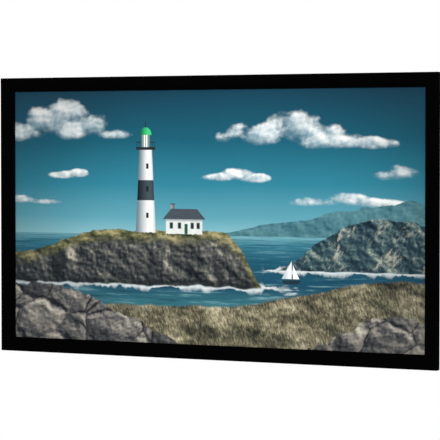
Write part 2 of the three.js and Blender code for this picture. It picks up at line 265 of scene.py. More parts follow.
def sky(s, x, y):
    """Air that darkens upward, with clouds that billow above and fray below."""
    haze = y + 0.04 * (s.grain(1.6, seed=3.1, detail=2) - 0.5)
    air = s.ramp(haze, [
        (0.42, (130, 178, 186)), (0.50, (86, 150, 165)), (0.63, (42, 120, 140)),
        (0.80, (20, 86, 106)), (1.0, (16, 60, 80)),
    ])
    # How deep a place lies in its nearest lump, and its height above the middle of that lump
    lump, rise = -2.0, 0.0
    for centre_x, centre_y, wide, high in CLOUDS:
        across, up = (x - centre_x) / wide, (y - centre_y) / high
        inside = 1.0 - across * across - s.math("POWER", s.high(up, up * -2.0), 2.0)
        nearer = s.step(-0.35, 0.35, inside - lump)
        rise = s.node("Mix", {0: nearer, 2: rise, 3: up})
        lump = s.high(inside, lump)

    def puffs(shift):
        billows = s.cells(s.spot(seed=2.3, shift=shift), 11)
        return s.grain(7, seed=7.7, detail=6, rough=0.54, up=1.2, shift=shift) - 0.28 * billows

    ragged = (puffs(0.0) - 0.36) * 3.8
    soft = 0.75 + 0.9 * s.step(0.25, -0.45, rise)
    cover = s.step(0.0, 1.0, (lump + ragged - 0.10) / soft)
    light = 0.54 + 0.30 * rise + 3.6 * s.slope(puffs, 0.013)
    cloud = s.ramp(light, [
        (0.0, (92, 124, 140)), (0.40, (146, 168, 176)), (0.70, (198, 208, 210)), (1.0, (238, 239, 236)),
    ])
    return s.mix(air, cloud, cover * 0.95)


def far_hills(s, x, y, picture):
    """A hazy range that rises to the right behind the sea."""
    uneven = 0.6 + 0.9 * s.wave(x, 3.2, seed=1.3, detail=6, rough=0.55)
    top = HORIZON - 0.005 + 0.13 * s.step(0.72, 1.75, x) * uneven
    folds = s.slope(lambda shift: s.grain(7, seed=2.2, detail=6, rough=0.6, up=1.3, shift=shift), 0.010)
    tone = s.ramp(0.45 + 4.2 * folds, [(0.0, (34, 84, 98)), (1.0, (98, 144, 150))])
    return s.mix(picture, tone, s.step(top + 0.002, top - 0.002, y))


def sea(s, x, y, picture):
    """Water under long streaks of light and shade, which are finer towards the horizon."""
    depth = HORIZON - y
    water = s.ramp(depth, [
        (0.0, (104, 158, 168)), (0.03, (50, 112, 130)), (0.10, (22, 78, 98)),
        (0.20, (22, 70, 90)), (0.30, (56, 114, 122)),
    ])
    far = s.grain(1, seed=6.6, detail=6, rough=0.64, across=6, up=200)
    near = s.grain(1, seed=2.2, detail=6, rough=0.62, across=5, up=75)
    swell = s.node("Mix", {0: s.step(0.05, 0.20, depth), 2: far, 3: near})
    water = s.mix(water, linear(150, 194, 198), s.step(0.53, 0.72, swell) * 0.55)
    water = s.mix(water, linear(12, 46, 60), s.step(0.49, 0.31, swell) * 0.6)
    return s.mix(picture, water, s.step(HORIZON + 0.001, HORIZON - 0.001, y))


def surf(s, x, y, foot, left, right, picture):
    """Broken white water along a shore."""
    spread = abs(y - foot + 0.034 * (s.grain(20, seed=2.7, detail=6, rough=0.7) - 0.5))
    ends = s.step(left, left + 0.05, x) * s.step(right, right - 0.10, x)
    wide = 0.006 + 0.022 * s.step(0.36, 0.66, s.wave(x, 7, seed=4.1, rough=0.6))
    foam = s.step(wide, 0.002, spread) * (0.55 + 0.6 * s.grain(38, seed=8.1, rough=0.7, up=2))
    return s.mix(picture, linear(220, 228, 227), s.low(foam, 1.0) * ends * 0.9)


def near_hills(s, x, y, picture):
    """A dark range across the bay, with pale scree and bare rock on it."""

    def ridges(shift):
        spurs = s.grain(4.6, seed=9.4, detail=8, rough=0.60, kind=RIDGED,
                        across=1.67, up=0.97, tilt=55, shift=shift)
        knolls = s.grain(12, seed=3.3, detail=8, rough=0.68, across=1.40, up=0.86, tilt=62, shift=shift)
        return spurs + 1.6 * knolls

    jag = 0.060 * (s.wave(x, 5.0, seed=5.5, detail=7, rough=0.62) - 0.5)
    top = 0.270 + 0.240 * s.step(1.02, 1.62, x) - 0.05 * s.step(1.62, 1.85, x) + jag
    foot = 0.300 + 0.012 * (s.wave(x, 9, seed=7.9) - 0.5)
    patches = s.grain(3.5, seed=1.7) - 0.5
    land = s.ramp(0.42 + 2.1 * s.slope(ridges, 0.009) + 0.3 * patches, [
        (0.0, (12, 30, 40)), (0.40, (42, 66, 74)), (0.70, (92, 112, 110)), (1.0, (168, 172, 156)),
    ])
    stones = s.grain(8.0, seed=4.1, detail=8, rough=0.74, across=2.61, up=1.06, tilt=-31)
    land = s.mix(land, linear(190, 186, 168), s.step(0.55, 0.66, stones) * 0.7)
    picture = surf(s, x, y, foot, 1.10, 1.90, picture)
    inside = s.step(top + 0.002, top - 0.002, y) * s.step(foot - 0.002, foot + 0.003, y)
    return s.mix(picture, land, inside)


BOAT_X = 1.235
BOAT_DECK = 0.262
BOAT_DRAUGHT = 0.013
MAST_HALF = 0.002
AFT_SAIL = 0.050
FORE_SAIL = 0.034
SAIL_EDGE = 0.0015
SAIL_LEAN = 0.62


def boat(s, x, y, picture):
    """A small boat under two white sails, with their shine on the water."""
    lean = (y - BOAT_DECK) * SAIL_LEAN
    aft = s.step(0.0, SAIL_EDGE, BOAT_X - MAST_HALF - x)
    aft = aft * s.step(AFT_SAIL, AFT_SAIL - SAIL_EDGE, (BOAT_X - x) + lean)
    fore = s.step(0.0, SAIL_EDGE, x - BOAT_X - MAST_HALF)
    fore = fore * s.step(FORE_SAIL, FORE_SAIL - SAIL_EDGE, (x - BOAT_X) + lean * 0.8)
    sails = s.low(aft + fore, 1.0) * s.step(BOAT_DECK + 0.006, BOAT_DECK + 0.008, y)
    cloth = s.mix(linear(176, 190, 198), linear(240, 240, 234), s.step(-0.040, 0.004, x - BOAT_X))
    picture = s.mix(picture, cloth, sails)
    low, high = BOAT_DECK - 0.058, BOAT_DECK - 0.016
    shine = s.box(x, y, BOAT_X - 0.034, BOAT_X + 0.024, low, high, soft=0.008)
    ripples = s.grain(30, seed=5.2, detail=3, rough=0.6, across=0.5, up=3.0)
    picture = s.mix(picture, linear(206, 218, 220), shine * s.step(0.48, 0.60, ripples) * 0.6)
    taper = (BOAT_DECK - y) * 0.9
    hull = s.step(0.041, 0.0395, abs(x - BOAT_X + 0.004) + taper)
    hull = hull * s.band(y, BOAT_DECK - BOAT_DRAUGHT, BOAT_DECK + 0.001)
    return s.mix(picture, linear(26, 44, 54), hull)


def headland(s, x, y, picture):
    """A rocky headland on the left, grassy on top, with surf along its foot."""
    jag = 0.030 * (s.wave(x, 13, seed=8.8, detail=6, rough=0.65) - 0.5)
    top = 0.352 + 0.094 * s.step(0.02, 0.42, x) - 0.30 * s.step(0.93, 1.20, x) + jag
    foot = 0.228 + 0.03 * (s.wave(x, 9, seed=1.9, detail=5) - 0.5)
    picture = surf(s, x, y, foot, -0.10, 1.24, picture)

    def crags(shift):
        buttresses = s.grain(5.5, seed=3.7, detail=8, rough=0.60, kind=RIDGED,
                             across=1.55, up=0.73, tilt=-17, shift=shift)
        ledges = s.grain(12, seed=5.1, detail=8, rough=0.68, across=1.22, up=0.90, tilt=58, shift=shift)
        return buttresses + 1.7 * ledges

    under = s.step(foot, top, y)
    grit = s.grain(42, seed=2.9, detail=6, rough=0.7, across=1.4, up=0.8) - 0.5
    face = s.ramp(0.34 + 1.7 * s.slope(crags, 0.009) + 0.7 * grit + 0.12 * under, [
        (0.0, (14, 18, 22)), (0.35, (48, 53, 55)), (0.65, (98, 98, 92)), (1.0, (182, 176, 158)),
    ])
    splash = 0.03 * (s.grain(15, seed=9.2, detail=5) - 0.5)
    wet = s.step(0.036, 0.010, y - foot + splash)
    face = s.mix(face, linear(18, 24, 27), wet * 0.6)
    humps = s.slope(lambda shift: s.grain(9, seed=1.4, detail=5, rough=0.55, up=2, shift=shift), 0.010)
    tufts = s.grain(62, seed=6.2, rough=0.6, across=1.3, up=1.6)
    grass = s.ramp(tufts * 0.8 + humps * 3.0 + 0.08, [
        (0.15, (40, 48, 34)), (0.50, (94, 94, 62)), (0.85, (158, 150, 108)),
    ])
    fringe = 0.06 * (s.grain(17, seed=4.4, detail=6, rough=0.65) - 0.5)
    land = s.mix(face, grass, s.step(0.060, 0.016, top - y + fringe))
    inside = s.step(top + 0.0022, top - 0.0022, y) * s.step(foot - 0.004, foot + 0.006, y)
    return s.mix(picture, land, inside)


# The lighthouse, from the ground up. Each HALF is half a width.
TOWER_X = 0.60
TOWER_BASE = 0.438
TOWER_TOP = 0.765
TOWER_HALF = 0.0445
TOWER_TAPER = 0.0165
TOWER_BAND = (0.565, 0.645)
WINDOW_SILLS = (0.495, 0.600, 0.690)
WINDOW_LEFT = 0.002
WINDOW_WIDE = 0.011
WINDOW_HIGH = 0.021
GALLERY_HALF = 0.043
GALLERY_TOP = 0.776
RAILING_HALF = 0.041
RAILING_TOP = 0.797
POST_SPACE = 0.005
LANTERN_HALF = 0.021
LANTERN_TOP = 0.825
LANTERN_BAR_SPACE = 0.0053
DOME_HALF = 0.026
DOME_HIGH = 0.030
DOME_FOOT = 0.824
SPIKE_HALF = 0.0018
SPIKE_TOP = 0.878
DARK_IRON = linear(30, 36, 42)
DARK_GLASS = linear(24, 34, 40)


def ground_line(s, x):
    """Where the walls on the headland meet the uneven grass."""
    return TOWER_BASE + 0.012 * (s.wave(x, 70, seed=5.0, rough=0.7) - 0.5)


def lighthouse(s, x, y, picture):
    """A tapered white tower with a dark band, a gallery and a green dome."""

    def centred(half, bottom, top):
        return s.box(x, y, TOWER_X - half, TOWER_X + half, bottom, top)

    half = TOWER_HALF - TOWER_TAPER * (y - TOWER_BASE) / (TOWER_TOP - TOWER_BASE)
    side = (x - TOWER_X) / half
    round_tone = s.step(-1.1, 0.55, side) * s.step(1.5, 0.5, side)
    stains = s.grain(24, seed=2.0, detail=5, rough=0.6, across=2.4, up=0.5)
    wall = s.mix(linear(92, 112, 122), linear(240, 240, 236), round_tone * (0.72 + 0.4 * stains))
    painted = s.mix(linear(16, 22, 28), linear(62, 74, 80), round_tone)
    wall = s.mix(wall, painted, s.band(y, *TOWER_BAND))
    tower = s.step(1.04, 0.97, abs(side)) * s.band(y, ground_line(s, x), TOWER_TOP)
    picture = s.mix(picture, wall, tower)
    left = TOWER_X + WINDOW_LEFT
    for sill in WINDOW_SILLS:
        window = s.box(x, y, left, left + WINDOW_WIDE, sill, sill + WINDOW_HIGH)
        picture = s.mix(picture, DARK_GLASS, window)

    off = abs(x - TOWER_X)
    picture = s.mix(picture, DARK_IRON, centred(GALLERY_HALF, TOWER_TOP, GALLERY_TOP))
    posts = s.step(0.25, 0.12, s.math("PINGPONG", off, POST_SPACE) / POST_SPACE)
    railing = s.low(posts + s.step(RAILING_TOP - 0.005, RAILING_TOP - 0.002, y), 1.0)
    railing = railing * centred(RAILING_HALF, GALLERY_TOP, RAILING_TOP)
    picture = s.mix(picture, DARK_IRON, railing)
    glow = s.mix(linear(74, 104, 112), linear(232, 238, 226), s.step(0.019, 0.002, off))
    bars = s.step(0.30, 0.18, s.math("PINGPONG", off, LANTERN_BAR_SPACE) / LANTERN_BAR_SPACE)
    lantern = s.mix(glow, DARK_IRON, bars)
    picture = s.mix(picture, lantern, centred(LANTERN_HALF, GALLERY_TOP, LANTERN_TOP))
    across, up = (x - TOWER_X) / DOME_HALF, (y - DOME_FOOT) / DOME_HIGH
    dome = s.step(1.05, 0.96, across * across + up * up) * s.step(-0.0015, 0.0015, y - DOME_FOOT)
    green = s.mix(linear(14, 92, 62), linear(58, 196, 120), s.step(-1.0, 0.5, across))
    picture = s.mix(picture, green, dome)
    spike = centred(SPIKE_HALF, DOME_FOOT + DOME_HIGH - 0.002, SPIKE_TOP)
    return s.mix(picture, DARK_IRON, spike)


# The house beside the tower
HOUSE_X = 0.770
HOUSE_HALF = 0.080
HOUSE_SUNK = 0.004
EAVES = 0.492
RIDGE = 0.533
ROOF_HALF = 0.094
CHIMNEY = (0.712, 0.728, 0.515, 0.552)
CHIMNEY_CAP = (0.710, 0.730, 0.549, 0.554)
SASHES_LEFT = (0.708, 0.744, 0.800, 0.826)
SASH_WIDE = 0.012
SASH_RISE = (0.456, 0.478)
SASH_FRAME = 0.0022
DOOR_SIDES = (0.772, 0.786)
DOOR_TOP = 0.474


def house(s, x, y, picture):
    """A low white house with a slate roof, beside the tower."""
    base = ground_line(s, x) - HOUSE_SUNK
    brick = s.mix(linear(104, 96, 92), linear(158, 148, 140), s.step(0.722, 0.714, x))
    picture = s.mix(picture, brick, s.box(x, y, *CHIMNEY))
    picture = s.mix(picture, linear(70, 72, 74), s.box(x, y, *CHIMNEY_CAP))
    wall = s.mix(linear(190, 194, 192), linear(230, 230, 224), s.grain(40, seed=1.1))
    wall = s.mix(wall, linear(104, 120, 128), s.step(EAVES - 0.013, EAVES - 0.001, y) * 0.7)
    picture = s.mix(picture, wall, s.box(x, y, HOUSE_X - HOUSE_HALF, HOUSE_X + HOUSE_HALF, base, EAVES))
    hip = s.step(ROOF_HALF + 0.002, ROOF_HALF - 0.002, abs(x - HOUSE_X) + (y - EAVES) * 0.9)
    courses = s.grain(60, seed=3.3, detail=3, rough=0.6, across=0.4, up=3.0)
    slate = s.mix(linear(38, 44, 52), linear(84, 92, 100), courses)
    picture = s.mix(picture, slate, hip * s.band(y, EAVES, RIDGE))
    sill, head = SASH_RISE
    for left in SASHES_LEFT:
        right = left + SASH_WIDE
        surround = (left - SASH_FRAME, right + SASH_FRAME, sill - SASH_FRAME, head + SASH_FRAME)
        picture = s.mix(picture, linear(138, 150, 154), s.box(x, y, *surround))
        picture = s.mix(picture, linear(28, 40, 48), s.box(x, y, left, right, sill, head))
    return s.mix(picture, linear(20, 84, 60), s.box(x, y, *DOOR_SIDES, base, DOOR_TOP))


def dune(s, x, y, picture):
    """Dry grass along the bottom, rising to the right."""
    swells = 0.045 * (s.wave(x, 3.0, seed=2.4) - 0.5)
    tips = 0.018 * (s.wave(x, 75, seed=7.1, detail=3, rough=0.7) - 0.5)
    top = 0.150 + 0.125 * s.step(0.85, 1.75, x) + swells + tips
    blades = s.grain(70, seed=1.2, detail=6, rough=0.72, across=2.0, up=0.59, tilt=19) - 0.5
    tufts = s.grain(9, seed=9.9, detail=7, rough=0.66, up=1.5) - 0.5
    humps = s.slope(lambda shift: s.grain(5, seed=4.9, detail=5, rough=0.55, up=1.6, shift=shift), 0.014)
    grass = s.ramp(0.42 + blades * 1.9 + tufts * 1.5 + humps * 2.2, [
        (0.0, (34, 35, 30)), (0.35, (86, 83, 65)), (0.65, (144, 137, 110)), (1.0, (208, 200, 170)),
    ])
    return s.mix(picture, grass, s.step(top + 0.004, top - 0.006, y))


BLOCK_SCALE = 6
CHIP_SCALE = 23
BLOCK_FLATTEN = 1.35


def boulders(s, x, y, picture):
    """Broken grey rock along the bottom, nearest to the viewer."""
    bend = 0.09 * (s.grain(7, seed=3.0, detail=6, rough=0.6) - 0.5)

    def block(shift):
        return s.point(x + shift + bend, (y + shift) * BLOCK_FLATTEN + bend, 4.0)

    def faces(shift):
        rounded = s.step(0.0, 0.16, s.cells(block(shift), BLOCK_SCALE, "DISTANCE_TO_EDGE"))
        rough = s.grain(11, seed=5.0, detail=8, rough=0.66, up=1.2, shift=shift)
        return rough - 0.7 * s.cells(block(shift), BLOCK_SCALE) + 0.22 * rounded

    block_tone = s.cells(block(0.0), BLOCK_SCALE, "F1", output=1)
    chips = s.point((x + bend) * 0.8, y * BLOCK_FLATTEN + bend, 1.0)
    tone = 0.12 + 0.42 * block_tone + 0.20 * s.cells(chips, CHIP_SCALE, "F1", output=1)
    stone = s.ramp(tone + 2.3 * s.slope(faces, 0.009), [
        (0.0, (28, 30, 33)), (0.35, (84, 84, 84)), (0.65, (146, 141, 131)), (1.0, (214, 207, 190)),
    ])
    ragged = 0.08 * (s.grain(12, seed=0.7, detail=5, rough=0.6) - 0.5)
    crack = s.cells(block(0.0), BLOCK_SCALE, "DISTANCE_TO_EDGE") + ragged
    stone = s.mix(linear(20, 21, 23), stone, s.step(-0.010, 0.030, crack))
    left_jag = 0.075 * (s.wave(x, 7.5, seed=6.0, detail=6, rough=0.6) - 0.5)
    left_top = 0.225 - 0.27 * s.step(0.10, 1.00, x) + left_jag
    right_jag = 0.14 * (s.wave(x, 6, seed=2.0, detail=6, rough=0.6) - 0.5)
    right_top = 0.185 * s.step(1.12, 1.70, x) + right_jag - 0.045
    return s.mix(picture, stone, s.step(0.004, -0.004, y - s.high(left_top, right_top)))


# Middle of the painted vignette, the shade that darkens the picture towards its corners
VIGNETTE_CENTRE = (0.95, 0.52)


def picture_material():
    """The front of the sheet: matt white vinyl with a projected coast on it."""
    s = Shader("screen_picture")
    x = s.x / (2 * HALF_HEIGHT) + HALF_WIDTH / (2 * HALF_HEIGHT)
    y = s.z / (2 * HALF_HEIGHT) + 0.5
    picture = sky(s, x, y)
    for layer in (far_hills, sea, near_hills, boat, headland, lighthouse, house, dune, boulders):
        picture = layer(s, x, y, picture)
    # Painted shade: a vignette darkens the picture towards its edges and corners
    off_x, off_y = x - VIGNETTE_CENTRE[0], y - VIGNETTE_CENTRE[1]
    vignette_shade = s.step(0.10, 0.95, off_x * off_x + 1.6 * off_y * off_y)
    picture = s.mix(picture, linear(8, 20, 28), vignette_shade * 0.42)
    s.set(Base_Color=picture, Roughness=0.9, Specular_IOR_Level=0.12)
    return s.bump(s.noise(900, 3), 0.00004, 0.5).material


# How much a texture is drawn out along the die lines of a bar and the strands of a rod
LINE_STRETCH = 0.004
STRAND_STRETCH = 0.02


def velvet_material():
    """Black flock, its nap laid unevenly by brushing, with its patchy sheen painted into its colour."""
    s = Shader("black_velvet")
    nap = s.noise(1400, 4, 0.7)
    # Painted sheen: broad patches where the unevenly laid nap would catch the light, lightening the black
    patchy_sheen = s.noise(9, 4, 0.6)
    s.set(Base_Color=s.mix(linear(1, 1, 1), linear(5, 5, 5), nap * 0.55 + patchy_sheen * 0.45))
    s.set(Roughness=1.0, Specular_IOR_Level=0.0, Sheen_Weight=0.003, Sheen_Roughness=0.4)
    return s.bump(nap, 0.0004, 0.6).material


def aluminium_material(name, along_x):
    """Mill finish, with fine die lines along the bar."""
    s = Shader(name)
    x, z = (s.x * LINE_STRETCH, s.z) if along_x else (s.x, s.z * LINE_STRETCH)
    lines = s.noise(900, 4, 0.65, place=s.point(x, s.y, z))
    cloudy = s.noise(14, 4)
    s.set(Base_Color=s.mix(linear(134, 138, 143), linear(184, 187, 191), lines * 0.6 + cloudy * 0.4))
    s.set(Metallic=1.0, Roughness=0.34 + lines * 0.16 + cloudy * 0.12)
    return s.bump(lines, 0.00006, 0.6).material


# Where the weld runs, out from the picture's edge, and half the pitch of its ribs
WELD_BAND = (-0.0085, 0.0050)
WELD_RIB = 0.0012


def vinyl_material():
    """The white side of the sheet, with the ribs that the welding bar leaves on the hem."""
    s = Shader("screen_vinyl")
    grain = s.noise(1100, 3, 0.6)
    patches = s.noise(5, 4)
    out = s.high(abs(s.x) - HALF_WIDTH, abs(s.z) - HALF_HEIGHT)
    weld = s.band(out, *WELD_BAND, soft=0.0006)
    ribs = s.math("PINGPONG", s.x + s.z, WELD_RIB) / WELD_RIB * weld
    white = s.mix(linear(206, 206, 203), linear(230, 230, 228), grain * 0.4 + patches * 0.6)
    s.set(Base_Color=s.mix(white, linear(186, 187, 186), weld * 0.45 + ribs * 0.2))
    s.set(Roughness=0.62 + grain * 0.12, Specular_IOR_Level=0.3)
    return s.bump(grain * 0.2 + ribs, 0.00012, 0.8).material


# Half the pitch of the weave that shows through the coat, and what brings it to about 1
THREAD = 0.0008
WEAVE_GAIN = 1.5e6


def backing_material():
    """The dark coat on the back of the sheet, which keeps light from coming through."""
    s = Shader("sheet_backing")
    weave = s.math("PINGPONG", s.x, THREAD) * s.math("PINGPONG", s.z, THREAD) * WEAVE_GAIN
    grain = s.noise(800, 4, 0.65)
    patches = s.noise(3, 5, 0.55)
    tone = grain * 0.35 + patches * 0.65
    s.set(Base_Color=s.mix(linear(34, 35, 37), linear(62, 63, 66), tone))
    s.set(Roughness=0.72 + grain * 0.12, Specular_IOR_Level=0.25)
    return s.bump(weave * 0.5 + grain * 0.5, 0.00006, 0.7).material


def nylon_material():
    """Natural nylon, with the fine grain of its mould."""
    s = Shader("clip_nylon")
    grain = s.noise(700, 3, 0.6)
    s.set(Base_Color=s.mix(linear(196, 196, 190), linear(222, 222, 217), grain))
    s.set(Roughness=0.40 + grain * 0.15)
    return s.bump(grain, 0.00005, 0.4).material


def fibreglass_material():
    """Pale resin with glass strands along the rod."""
    s = Shader("fibreglass_rod")
    along = s.point(s.x * STRAND_STRETCH, s.y, s.z * STRAND_STRETCH)
    strands = s.noise(1800, 3, 0.6, place=along)
    s.set(Base_Color=s.mix(linear(196, 186, 148), linear(232, 226, 200), strands))
    s.set(Roughness=0.38 + strands * 0.2)
    return s.bump(strands, 0.00005, 0.5).material


def zinc_material():
    """Zinc plated steel, with faint spangle."""
    s = Shader("zinc_steel")
    spangle = s.noise(160, 5, 0.6)
    rub = s.noise(1200, 3, 0.6)
    s.set(Base_Color=s.mix(linear(116, 121, 128), linear(180, 184, 188), spangle))
    s.set(Metallic=1.0, Roughness=0.26 + spangle * 0.22)
    return s.bump(rub, 0.00004, 0.5).material


def rubber_material():
    """Dull black rubber."""
    s = Shader("bumper_rubber")
    grain = s.noise(900, 4, 0.7)
    s.set(Base_Color=s.mix(linear(22, 22, 23), linear(44, 44, 45), grain), Roughness=0.86)
    return s.bump(grain, 0.0001, 0.6).material


# Edges sharper than this many degrees stay sharp, on round pieces and on flat ones
ROUND_ANGLE = 50
FLAT_ANGLE = 40
# Points closer than this are one point
TOUCH = 1e-6


def piece(name, mesh, replaced, slot, *materials):
    """A new object that stands for a CAD node."""
    made = bpy.data.objects.new(name, mesh)
    bpy.context.scene.collection.objects.link(made)
    for material in materials:
        mesh.materials.append(material)
    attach(made, "root")
    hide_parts(replaced)
    return made


def finished(mesh, name, angle):
    """Mesh data from a bmesh, shaded smooth apart from edges sharper than the angle in degrees."""
    data = bpy.data.meshes.new(name)
    mesh.to_mesh(data)
    mesh.free()
    data.shade_smooth()
    data.set_sharp_from_angle(angle=math.radians(angle))
    return data


def arc(centre_r, centre_d, radius, start, end, steps):
    """Points of a round stretch of a section, with its angles in degrees."""
    angles = [math.radians(start + (end - start) * i / steps) for i in range(steps + 1)]
    return [(centre_r + radius * math.cos(a), centre_d + radius * math.sin(a)) for a in angles]


# Velvet wrap
VELVET = 0.0009
VELVET_TUCK = 0.007
VELVET_RETURN = 0.006
SEAT_GAP = 0.0003
LIP_HEIGHT = 0.0057
FRONT_RADIUS = 0.0025
NOSE_RADIUS = 0.0012
BEND_RADIUS = 0.0006
LEAST_RADIUS = 0.0002
# Distances back from a mitre, and how far the nap is pressed in there
SEAM_PRESS = ((0.0, 0.00035), (0.0006, 0.0001), (0.0016, 0.0))
# Steps in a quarter turn of the wrap's outer and inner face, and even stretches along a wrap
OUTER_STEPS = 6
INNER_STEPS = 4
STRETCHES = 12


def velvet_section():
    """The wrap's section as points (r, d), where d runs back from the frame's front face."""
    seat, depth = SURFACE - FRONT - SEAT_GAP, BACK - FRONT
    bevel = seat - LIP_HEIGHT

    def skin(inward, steps):
        """The outer face taken in by some distance, with its two blunt bends rounded."""
        nose = max(NOSE_RADIUS - inward, LEAST_RADIUS)
        front = max(FRONT_RADIUS - inward, LEAST_RADIUS)
        turn = bevel + inward * (math.sqrt(2) - 1)
        bend = (BEND_RADIUS + inward) * math.tan(math.radians(22.5))
        radius = BEND_RADIUS + inward
        side = FRAME_WIDTH - inward
        return [
            *arc(inward + nose, seat - inward - nose, nose, 90, 180, steps),
            *arc(inward + radius, turn + bend, radius, 180, 225, steps // 2),
            *arc(turn + bend, inward + radius, radius, 225, 270, steps // 2),
            *arc(side - front, inward + front, front, 270, 360, steps),
            *arc(side - nose, depth - inward - nose, nose, 0, 90, steps),
        ]

    hem = FRAME_WIDTH - VELVET_RETURN
    outer = [(VELVET_TUCK, seat), *skin(0, OUTER_STEPS), (hem, depth)]
    inner = [(VELVET_TUCK, seat - VELVET), *skin(VELVET, INNER_STEPS), (hem, depth - VELVET)]
    return outer + inner[::-1]


def velvet_wrap(side, material):
    """One mitred wrap. Next to each mitre the nap is pressed in a little, which shows as a seam."""
    section = velvet_section()
    middle = Vector((FRAME_WIDTH / 2, (BACK - FRONT) / 2))
    stations = [(-1, back, press) for back, press in SEAM_PRESS]
    stations += [(2 * i / STRETCHES - 1, 0, 0) for i in range(1, STRETCHES)]
    stations += [(1, back, press) for back, press in SEAM_PRESS[::-1]]
    mesh = bmesh.new()
    rings = []
    for share, set_back, press in stations:
        ring = []
        for r, d in section:
            pressed = Vector((r, d)) + (middle - Vector((r, d))).normalized() * press
            reach = half_length(side) + pressed.x
            x, z = on_side(side, share * (reach - set_back), pressed.x)
            ring.append(mesh.verts.new((x, FRONT + pressed.y, z)))
        rings.append(ring)
    for a, b in zip(rings, rings[1:]):
        for i in range(len(section)):
            mesh.faces.new((a[i - 1], a[i], b[i], b[i - 1]))
    ends = [mesh.faces.new(ring) for ring in (rings[0], rings[-1])]
    bmesh.ops.recalc_face_normals(mesh, faces=mesh.faces)
    bmesh.ops.triangulate(mesh, faces=ends)
    name = f"velvet_wrap_{side}"
    piece(name, finished(mesh, name, ROUND_ANGLE), f"velvet_{side}", "black_velvet", material)


# Sheet: a panel whose edges go round the rods and are welded to its own back. R is measured outward
# from the picture's edge.
ROD_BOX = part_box("hem_rod_top")
ROD_R = (ROD_BOX[0].z + ROD_BOX[1].z) / 2 - HALF_HEIGHT
ROD_Y = (ROD_BOX[0].y + ROD_BOX[1].y) / 2
CLOTH = 0.0005
CLOTH_GAP = 0.00002
POCKET_RADIUS = ROD_Y - SURFACE - CLOTH / 2
WELD_START = 0.0095
HEM_END = -0.012
SLEEVE_SHORTFALL = 0.012
NOTCH_MARGIN = 0.003
NOTCH_BITE = 0.0007
NOTCH_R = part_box("tension_clip_top_1")[0].z - HALF_HEIGHT - NOTCH_BITE
PICTURE_SPILL = 0.0015
CELL = 0.06
SLEEVE_STEPS = 14


def hem_section():
    """The middle of the cloth as points (r, y), from the panel round the rod to the end of the hem."""
    panel_y = SURFACE + CLOTH / 2
    flap_y = panel_y + CLOTH + CLOTH_GAP
    to_weld = Vector((WELD_START - ROD_R, flap_y - ROD_Y))
    leave = math.degrees(math.atan2(to_weld.y, to_weld.x)) % 360
    leave -= math.degrees(math.acos(POCKET_RADIUS / to_weld.length))
    wrap = arc(ROD_R, ROD_Y, POCKET_RADIUS, -90, leave, SLEEVE_STEPS)
    share = (wrap[-1][0] - NOTCH_R) / (wrap[-1][0] - WELD_START)
    cut_y = wrap[-1][1] + share * (flap_y - wrap[-1][1])
    front = [(HEM_END, panel_y), (PICTURE_SPILL, panel_y), (NOTCH_R, panel_y)]
    return front + wrap + [(NOTCH_R, cut_y), (WELD_START, flap_y), (HEM_END, flap_y)]


def notches(side):
    """Stretches along a side where the hem is cut away so that a clip or the brace holds the rod."""
    grips = (f"tension_clip_{side}_", f"brace_strap_{side}")
    held = [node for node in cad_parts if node.startswith(grips)]
    spans = sorted(span_along(side, node) for node in held)
    return [(start - NOTCH_MARGIN, end + NOTCH_MARGIN) for start, end in spans]


def cuts(side):
    """Places along a side where the sheet's grid has a line: notch ends, and even steps between."""
    end = half_length(side) - SLEEVE_SHORTFALL
    fixed = sorted([-end, end] + [place for span in notches(side) for place in span])
    places = [-end]
    for a, b in zip(fixed, fixed[1:]):
        count = max(1, round((b - a) / CELL))
        places += [a + (b - a) * i / count for i in range(1, count + 1)]
    return places


def sheet_mesh():
    """The panel in a grid, the sleeves and flaps along its sides, and its four corners."""
    mesh = bmesh.new()

    def face(corners):
        return mesh.faces.new([mesh.verts.new(corner) for corner in corners])

    section = hem_section()
    panel_y = section[0][1]
    columns, rows = cuts("top"), cuts("right")
    for left, right in zip(columns, columns[1:]):
        for low, high in zip(rows, rows[1:]):
            face([(x, panel_y, z) for x, z in ((left, low), (right, low), (right, high), (left, high))])
    for side in OUTWARD:
        open_spans = notches(side)
        for start, end in zip(cuts(side), cuts(side)[1:]):
            notched = any(low < (start + end) / 2 < high for low, high in open_spans)
            for (r, y), (next_r, next_y) in zip(section, section[1:]):
                if notched and (r + next_r) / 2 > NOTCH_R:
                    continue
                ends = [on_side(side, start, r), on_side(side, end, r)]
                ends += [on_side(side, end, next_r), on_side(side, start, next_r)]
                face([(x, level, z) for (x, z), level in zip(ends, (y, y, next_y, next_y))])
    steps_out = [r for r, _ in section[:3]] + [ROD_R]
    for sign_x in (-1, 1):
        for sign_z in (-1, 1):
            middle_x, middle_z = HALF_WIDTH + HEM_END, HALF_HEIGHT + HEM_END
            on_top = [(sign_x * middle_x, panel_y, sign_z * (HALF_HEIGHT + r)) for r in steps_out]
            on_end = [(sign_x * (HALF_WIDTH + r), panel_y, sign_z * middle_z) for r in steps_out[1:]]
            face(on_top + on_end[::-1])
    bmesh.ops.remove_doubles(mesh, verts=mesh.verts, dist=TOUCH)
    bmesh.ops.recalc_face_normals(mesh, faces=mesh.faces)
    mesh.faces.ensure_lookup_table()
    if mesh.faces[0].normal.y > 0:
        bmesh.ops.reverse_faces(mesh, faces=mesh.faces)
    picture_x, picture_z = HALF_WIDTH + PICTURE_SPILL, HALF_HEIGHT + PICTURE_SPILL
    for polygon in mesh.faces:
        centre = polygon.calc_center_median()
        within = abs(centre.x) < picture_x and abs(centre.z) < picture_z
        polygon.material_index = 0 if within and centre.y < panel_y + CLOTH / 2 else 1
    return finished(mesh, "screen_sheet", FLAT_ANGLE)


